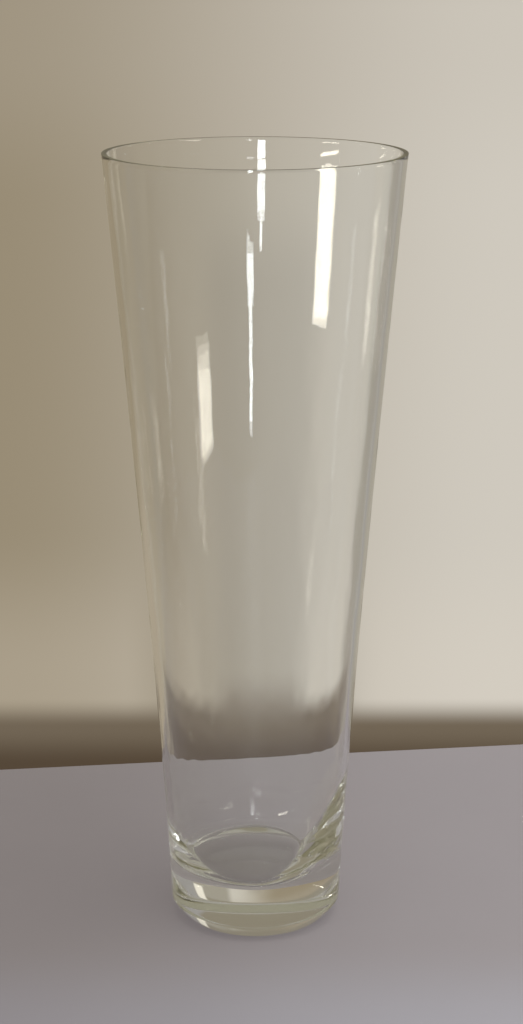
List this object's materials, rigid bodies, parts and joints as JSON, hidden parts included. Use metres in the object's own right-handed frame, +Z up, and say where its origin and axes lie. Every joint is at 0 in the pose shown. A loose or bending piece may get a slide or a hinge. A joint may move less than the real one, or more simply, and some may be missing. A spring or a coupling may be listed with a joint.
{
  "type": "tapered glass vase",
  "caption": "Tall tapered flower vase of clear glass, with a thin flaring wall, an open round mouth and a thick solid foot.",
  "frame": {"origin": "centre of the foot, on the surface that the vase stands on", "axes": "+Z up along the vase's axis, from the foot to the mouth"},
  "size_m": [0.15, 0.15, 0.4],
  "materials": {
    "clear_glass": "fire-polished"
  },
  "bodies": {
    "root": {"vase_glass": "clear_glass"}
  },
  "joints": []
}
